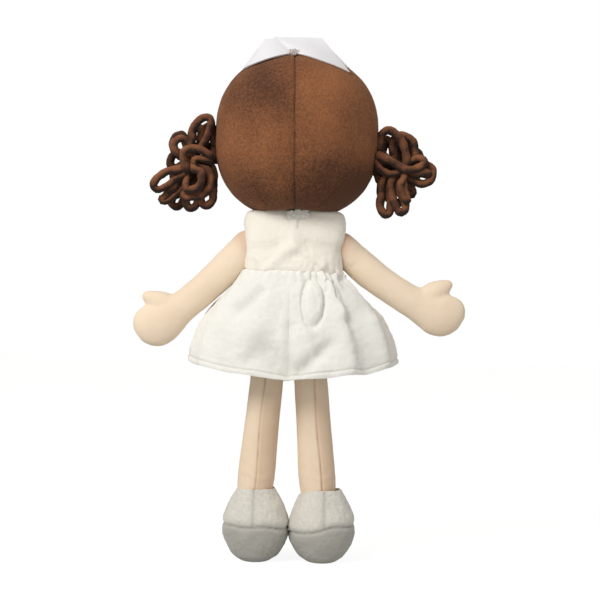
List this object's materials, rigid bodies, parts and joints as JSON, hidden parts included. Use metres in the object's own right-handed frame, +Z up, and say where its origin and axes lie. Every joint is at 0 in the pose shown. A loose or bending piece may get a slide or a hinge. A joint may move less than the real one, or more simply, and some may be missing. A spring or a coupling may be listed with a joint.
{
  "type": "soft doll",
  "caption": "Stuffed cloth doll with corded pigtails, a folded felt cap, a plush dress and plush shoes, standing with its arms held out.",
  "frame": {"origin": "on the floor under the middle of the whole doll, level with the soles", "axes": "+Z up, along the standing height; +Y forward, the way the face looks; +X to picture right as the doll is seen from behind, which is its own right-hand side"},
  "size_m": [0.2292, 0.1, 0.3659],
  "materials": {
    "hair_plush": "short brushed pile",
    "hair_cord": "velour cord",
    "skin_cloth": "fine brushed knit",
    "dress_plush": "short plush pile",
    "cap_felt": "smooth felt",
    "shoe_plush": "short plush pile",
    "stuffing": "loose fibre",
    "tape": "hook-and-loop tape"
  },
  "bodies": {
    "torso": {"torso_front": "skin_cloth", "torso_back": "skin_cloth", "torso_filling": "stuffing", "bodice_front": "dress_plush", "bodice_back_left": "dress_plush", "bodice_back_right": "dress_plush", "closure_loop_tape": "tape", "skirt": "dress_plush"},
    "closure_tab": {"closure_hook_tab": "tape"},
    "neck": {"neck": "skin_cloth"},
    "head": {"head_back_left": "hair_plush", "head_back_right": "hair_plush", "face_panel": "skin_cloth", "fringe_left": "hair_plush", "fringe_right": "hair_plush", "head_filling": "stuffing", "cap_left_wing": "cap_felt", "cap_right_wing": "cap_felt", "cap_front": "cap_felt"},
    "leg_seam": {"leg_seam": "skin_cloth"},
    "pigtail_tie_left": {"pigtail_tie_left": "hair_cord"},
    "pigtail_loops_left": {"pigtail_loops_left": "hair_cord"},
    "shoulder_tab_left": {"shoulder_tab_left": "skin_cloth"},
    "arm_left": {"arm_skin_left": "skin_cloth", "arm_filling_left": "stuffing"},
    "leg_left": {"leg_skin_left": "skin_cloth", "leg_filling_left": "stuffing"},
    "shoe_left": {"shoe_sole_left": "shoe_plush", "shoe_upper_left": "shoe_plush", "shoe_filling_left": "stuffing"},
    "pigtail_tie_right": {"pigtail_tie_right": "hair_cord"},
    "pigtail_loops_right": {"pigtail_loops_right": "hair_cord"},
    "shoulder_tab_right": {"shoulder_tab_right": "skin_cloth"},
    "arm_right": {"arm_skin_right": "skin_cloth", "arm_filling_right": "stuffing"},
    "leg_right": {"leg_skin_right": "skin_cloth", "leg_filling_right": "stuffing"},
    "shoe_right": {"shoe_sole_right": "shoe_plush", "shoe_upper_right": "shoe_plush", "shoe_filling_right": "stuffing"}
  },
  "joints": [
    {"name": "neck_nod", "type": "hinge", "parent": "torso", "child": "neck", "pos_m": [-0.0042, -0.00001, 0.23981], "axis": [-1, 0, 0], "range_deg": [-10, 10], "stiffness_Nm_per_rad": 0.3},
    {"name": "neck_turn", "type": "hinge", "parent": "neck", "child": "head", "pos_m": [-0.0042, -0.00001, 0.23981], "axis": [0, 0, 1], "range_deg": [-30, 30], "stiffness_Nm_per_rad": 0.06},
    {"name": "sit_fold", "type": "hinge", "parent": "torso", "child": "leg_seam", "pos_m": [-0.0042, -0.00001, 0.16061], "axis": [1, 0, 0], "range_deg": [-15, 90], "stiffness_Nm_per_rad": 0.8, "deforming": ["skirt"]},
    {"name": "closure_peel", "type": "hinge", "parent": "torso", "child": "closure_tab", "pos_m": [-0.0115, -0.01988, 0.236], "axis": [0, 0, -1], "range_deg": [0, 90]},
    {"name": "arm_swing_left", "type": "hinge", "parent": "torso", "child": "shoulder_tab_left", "pos_m": [-0.0372, -0.00001, 0.21881], "axis": [0, 0, -1], "range_deg": [-15, 40], "stiffness_Nm_per_rad": 0.06},
    {"name": "arm_raise_left", "type": "hinge", "parent": "shoulder_tab_left", "child": "arm_left", "pos_m": [-0.0372, -0.00001, 0.21881], "axis": [0, 1, 0], "range_deg": [-3, 50], "stiffness_Nm_per_rad": 0.1},
    {"name": "leg_swing_left", "type": "hinge", "parent": "leg_seam", "child": "leg_left", "pos_m": [-0.0169, -0.00001, 0.16061], "axis": [-1, 0, 0], "range_deg": [-35, 35], "stiffness_Nm_per_rad": 0.6},
    {"name": "ankle_left", "type": "hinge", "parent": "leg_left", "child": "shoe_left", "pos_m": [-0.02731, -0.00001, 0.0505], "axis": [1, 0, 0], "range_deg": [-20, 20], "stiffness_Nm_per_rad": 0.6},
    {"name": "pigtail_swing_left", "type": "hinge", "parent": "head", "child": "pigtail_tie_left", "pos_m": [-0.05546, 0.01899, 0.28041], "axis": [-1, 0, 0], "range_deg": [-45, 45], "stiffness_Nm_per_rad": 0.02},
    {"name": "pigtail_sway_left", "type": "hinge", "parent": "pigtail_tie_left", "child": "pigtail_loops_left", "pos_m": [-0.0762, -0.00251, 0.28041], "axis": [0, 1, 0], "range_deg": [-8, 8], "stiffness_Nm_per_rad": 0.02},
    {"name": "arm_swing_right", "type": "hinge", "parent": "torso", "child": "shoulder_tab_right", "pos_m": [0.0288, -0.00001, 0.21881], "axis": [0, 0, 1], "range_deg": [-15, 40], "stiffness_Nm_per_rad": 0.06},
    {"name": "arm_raise_right", "type": "hinge", "parent": "shoulder_tab_right", "child": "arm_right", "pos_m": [0.0288, -0.00001, 0.21881], "axis": [0, -1, 0], "range_deg": [-13, 40], "stiffness_Nm_per_rad": 0.1},
    {"name": "leg_swing_right", "type": "hinge", "parent": "leg_seam", "child": "leg_right", "pos_m": [0.0085, -0.00001, 0.16061], "axis": [-1, 0, 0], "range_deg": [-35, 35], "stiffness_Nm_per_rad": 0.6},
    {"name": "ankle_right", "type": "hinge", "parent": "leg_right", "child": "shoe_right", "pos_m": [0.01891, -0.00001, 0.0505], "axis": [1, 0, 0], "range_deg": [-20, 20], "stiffness_Nm_per_rad": 0.6},
    {"name": "pigtail_swing_right", "type": "hinge", "parent": "head", "child": "pigtail_tie_right", "pos_m": [0.04567, 0.01899, 0.27441], "axis": [-1, 0, 0], "range_deg": [-45, 45], "stiffness_Nm_per_rad": 0.02},
    {"name": "pigtail_sway_right", "type": "hinge", "parent": "pigtail_tie_right", "child": "pigtail_loops_right", "pos_m": [0.0678, -0.00251, 0.27441], "axis": [0, -1, 0], "range_deg": [-8, 8], "stiffness_Nm_per_rad": 0.02}
  ]
}
